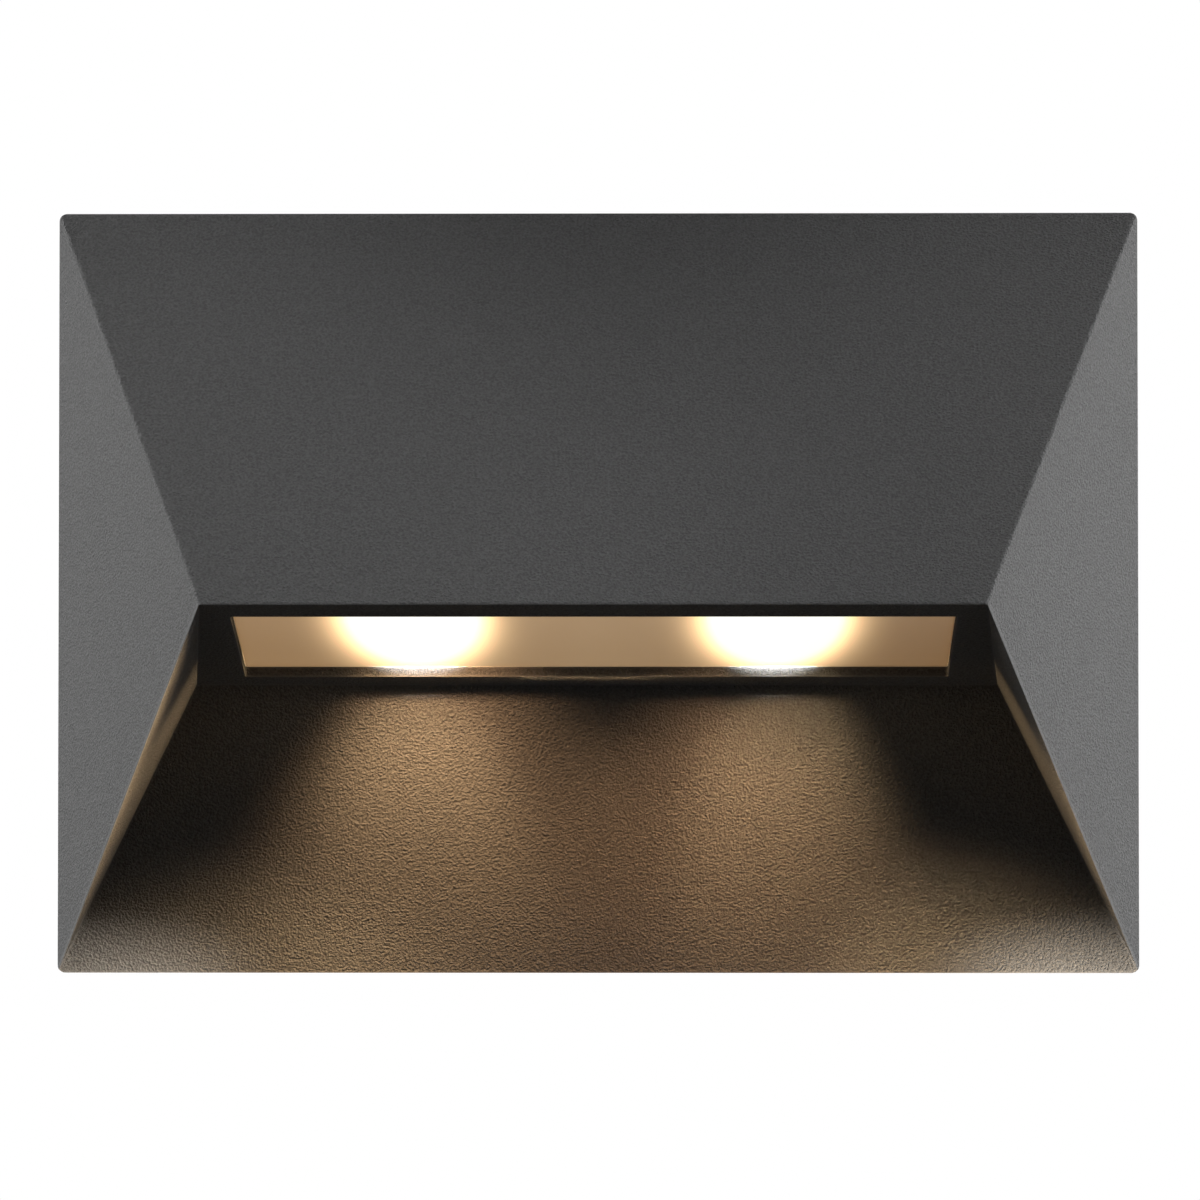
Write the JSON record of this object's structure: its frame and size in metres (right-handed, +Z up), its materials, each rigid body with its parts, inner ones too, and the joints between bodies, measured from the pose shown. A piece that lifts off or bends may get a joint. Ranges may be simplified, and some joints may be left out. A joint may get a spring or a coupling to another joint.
{
  "type": "outdoor wall light",
  "caption": "Wall light for outdoors: a folded cast hood over a down-facing lit panel and a sloping reflector, pulled off a wall plate that holds the mains wiring.",
  "frame": {"origin": "middle of the housing's outline on the wall, in the plane of the wall", "axes": "+X to the right along the wall, +Y into the wall, +Z up; the light faces -Y"},
  "size_m": [0.27, 0.0956, 0.19],
  "materials": {
    "powder_coat": "fine-grain matt powder coat",
    "cast_aluminium": "as cast, lightly blasted",
    "foam_rubber": "closed-cell foam",
    "epdm_rubber": "moulded",
    "silicone": "extruded",
    "frosted_panel": "satin, translucent",
    "zinc_steel": "zinc plated",
    "spring_steel": "bright rolled",
    "tinned_copper": "tin plated",
    "brass": "turned",
    "white_polycarbonate": "moulded",
    "natural_nylon": "moulded",
    "white_nylon": "moulded",
    "board_lacquer": "white solder lacquer",
    "led_phosphor": "silicone over phosphor",
    "thermal_silicone": "calendered",
    "brown_pvc": "extruded",
    "blue_pvc": "extruded",
    "green_yellow_pvc": "extruded",
    "red_pvc": "extruded",
    "black_pvc": "extruded"
  },
  "bodies": {
    "wall_mount": {"cable_grommet": "epdm_rubber", "driver_screws": "zinc_steel", "earth_lead": "green_yellow_pvc", "earth_lug": "tinned_copper", "earth_screw": "zinc_steel", "lamp_socket": "white_nylon", "led_driver": "white_polycarbonate", "live_lead": "brown_pvc", "mounting_plate": "cast_aluminium", "neutral_lead": "blue_pvc", "output_lead_negative": "black_pvc", "output_lead_positive": "red_pvc", "socket_pins": "brass", "socket_screws": "zinc_steel", "terminal_block": "natural_nylon", "terminal_block_screws": "zinc_steel", "terminal_screws": "zinc_steel"},
    "housing": {"board_lead_negative": "black_pvc", "board_lead_positive": "red_pvc", "board_screws": "zinc_steel", "clamp_screws": "zinc_steel", "diffuser": "frosted_panel", "diffuser_clamp_left": "spring_steel", "diffuser_clamp_right": "spring_steel", "diffuser_gasket": "silicone", "front_housing": "powder_coat", "lamp_plug": "white_nylon", "led_board": "board_lacquer", "led_chips": "led_phosphor", "plug_screw": "zinc_steel", "retaining_screws": "zinc_steel", "thermal_pad": "thermal_silicone", "wall_seal": "foam_rubber"}
  },
  "joints": [
    {"name": "housing_pull", "type": "slide", "parent": "wall_mount", "child": "housing", "axis": [0, -1, 0], "range_m": [0, 0.08]}
  ]
}
